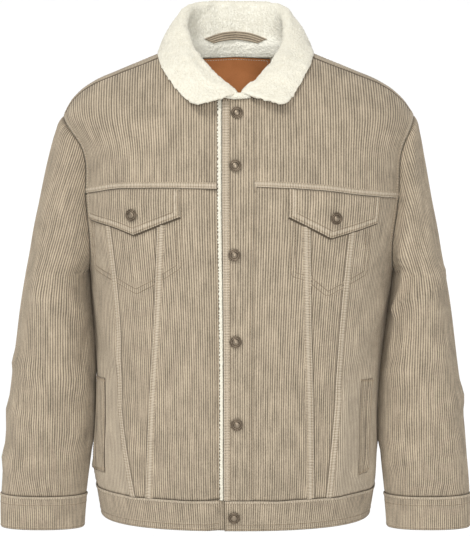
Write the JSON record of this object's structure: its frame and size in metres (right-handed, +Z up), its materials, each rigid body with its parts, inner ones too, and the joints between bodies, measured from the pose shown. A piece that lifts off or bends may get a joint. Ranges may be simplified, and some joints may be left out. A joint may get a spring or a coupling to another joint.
{
  "type": "sherpa lined corduroy jacket",
  "caption": "Waist-length corduroy jacket worn on a hollow form, with a folded sherpa collar, V seams, pointed chest pocket flaps and a buttoned front.",
  "frame": {"origin": "midway between the high points of the shoulders, where the jacket rests on its wearer", "axes": "+X to the wearer's left, -Y out of the front, +Z up"},
  "size_m": [0.6514, 0.2833, 0.7245],
  "materials": {
    "corduroy": "beige cotton corduroy, ribbed and matte",
    "sherpa": "cream sherpa fleece, curly pile",
    "leather": "brown leather, blank, slightly glossy",
    "metal": "antique brass, worn and domed"
  },
  "bodies": {
    "root": {"back_body": "corduroy", "back_yoke": "corduroy", "cuff_left": "corduroy", "cuff_right": "corduroy", "flap_button_left": "metal", "flap_button_right": "metal", "front_button_1": "metal", "front_button_2": "metal", "front_button_3": "metal", "front_button_4": "metal", "front_button_5": "metal", "front_button_6": "metal", "front_centre_left": "corduroy", "front_centre_right": "corduroy", "front_edge_fleece": "sherpa", "front_middle_left": "corduroy", "front_middle_right": "corduroy", "front_placket": "corduroy", "front_side_left": "corduroy", "front_side_right": "corduroy", "front_yoke_left": "corduroy", "front_yoke_right": "corduroy", "hanger_loop": "corduroy", "neck_label": "leather", "pocket_flap_left": "corduroy", "pocket_flap_right": "corduroy", "sleeve_back_left": "corduroy", "sleeve_back_right": "corduroy", "sleeve_front_left": "corduroy", "sleeve_front_right": "corduroy", "top_collar": "sherpa", "under_collar": "corduroy", "waistband_back": "corduroy", "waistband_left": "corduroy", "waistband_right": "corduroy", "welt_left": "corduroy", "welt_right": "corduroy"}
  },
  "joints": []
}
